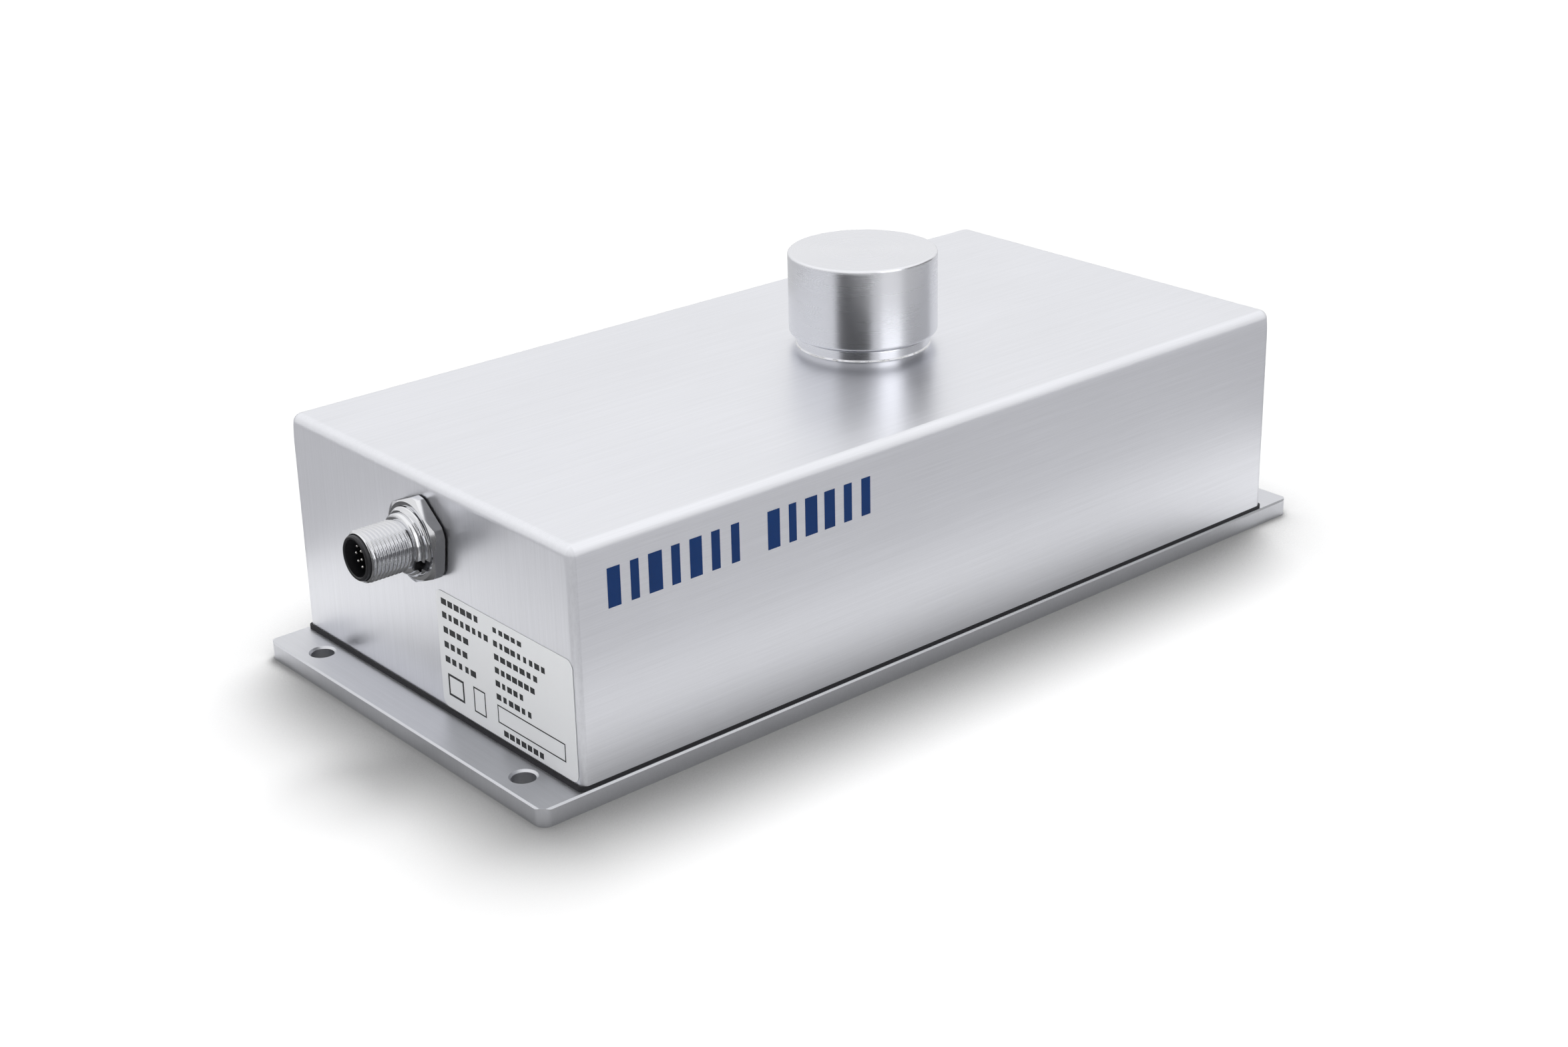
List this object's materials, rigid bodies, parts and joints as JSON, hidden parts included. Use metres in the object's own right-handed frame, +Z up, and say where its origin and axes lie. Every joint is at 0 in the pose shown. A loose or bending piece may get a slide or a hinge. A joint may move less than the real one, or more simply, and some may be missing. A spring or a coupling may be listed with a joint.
{
  "type": "load cell weighing module",
  "caption": "Weighing module: folded steel housing on a flanged base plate, round load pan on top, threaded connector on one end, and a lever cell with magnet and coil inside.",
  "frame": {"origin": "centre of the base plate's underside", "axes": "+X along the housing away from the connector, +Y across it, +Z up along the load axis"},
  "size_m": [0.2523, 0.1124, 0.0835],
  "materials": {
    "sheet_steel": "brushed along its length",
    "plate_steel": "brushed, edges broken",
    "turned_steel": "fine turned finish",
    "connector_metal": "bright nickel plate",
    "black_rubber": "matte",
    "black_plastic": "satin",
    "gold_contact": "polished",
    "board_green": "lacquered",
    "label_white": "satin film",
    "ribbon_grey": "satin",
    "milled_aluminium": "fine milled",
    "spring_bronze": "rolled strip",
    "dark_steel": "black oxide",
    "plain_steel": "ground",
    "magnet_steel": "nickel flash",
    "coil_copper": "enamelled wire",
    "former_film": "amber film"
  },
  "bodies": {
    "housing": {"base_plate": "plate_steel", "base_gasket": "black_rubber", "cover": "sheet_steel", "cover_blocks": "plain_steel", "cover_screws": "plain_steel", "load_collar": "turned_steel", "connector_shell": "connector_metal", "connector_nut": "connector_metal", "connector_seal": "black_rubber", "connector_insert": "black_plastic", "contact_pins": "gold_contact", "connector_board": "board_green", "signal_ribbon": "ribbon_grey", "ribbon_clips": "ribbon_grey", "rating_label": "label_white", "cell_spacers": "milled_aluminium", "cell_frame": "milled_aluminium", "cell_screws": "dark_steel", "stop_pin": "plain_steel", "pivot_strips": "spring_bronze", "magnet_yoke": "magnet_steel", "magnet_disc": "magnet_steel", "pole_piece": "magnet_steel", "position_sensor": "black_plastic", "lift_rods": "plain_steel", "lift_bracket": "milled_aluminium", "lift_motor": "plain_steel", "main_board": "board_green", "board_parts": "black_plastic", "board_standoffs": "spring_bronze", "board_screws": "dark_steel", "shield_can": "plain_steel"},
    "load_receiver": {"load_pan": "turned_steel", "pan_stem": "turned_steel", "hanger": "milled_aluminium", "coupling_strip": "spring_bronze"},
    "upper_link": {"upper_guide": "milled_aluminium"},
    "lower_link": {"lower_guide": "milled_aluminium"},
    "lever_arm": {"lever": "milled_aluminium", "coil_former": "former_film", "coil_winding": "coil_copper"},
    "weight_lift": {"lift_cradle": "dark_steel", "adjustment_weight": "turned_steel"},
    "lift_screw": {"lift_spindle": "plain_steel"}
  },
  "joints": [
    {"name": "load_travel", "type": "slide", "parent": "housing", "child": "load_receiver", "axis": [0, 0, 1], "range_m": [-0.00025, 0.00025]},
    {"name": "upper_guide_flexure", "type": "hinge", "parent": "housing", "child": "upper_link", "pos_m": [-0.02835, 0, 0.0479], "axis": [0, -1, 0], "range_deg": [-0.36, 0.36]},
    {"name": "lower_guide_flexure", "type": "hinge", "parent": "housing", "child": "lower_link", "pos_m": [-0.02835, 0, 0.0129], "axis": [0, -1, 0], "range_deg": [-0.36, 0.36]},
    {"name": "lever_pivot", "type": "hinge", "parent": "housing", "child": "lever_arm", "pos_m": [0.004, 0, 0.03], "axis": [0, -1, 0], "range_deg": [-1.8, 1.8]},
    {"name": "weight_lowering", "type": "slide", "parent": "housing", "child": "weight_lift", "axis": [0, 0, 1], "range_m": [-0.0025, 0]},
    {"name": "lift_screw_turn", "type": "hinge", "parent": "housing", "child": "lift_screw", "pos_m": [0.063, 0, 0.03], "axis": [0, 0, 1], "range_deg": [-1, 451]}
  ],
  "couplings": [
    {"joint": "upper_guide_flexure", "follows": "load_travel", "rad_per_m": 24.753},
    {"joint": "lower_guide_flexure", "follows": "load_travel", "rad_per_m": 24.753},
    {"joint": "lever_pivot", "follows": "load_travel", "rad_per_m": 125},
    {"joint": "lift_screw_turn", "follows": "weight_lowering", "rad_per_m": -3141.6}
  ]
}
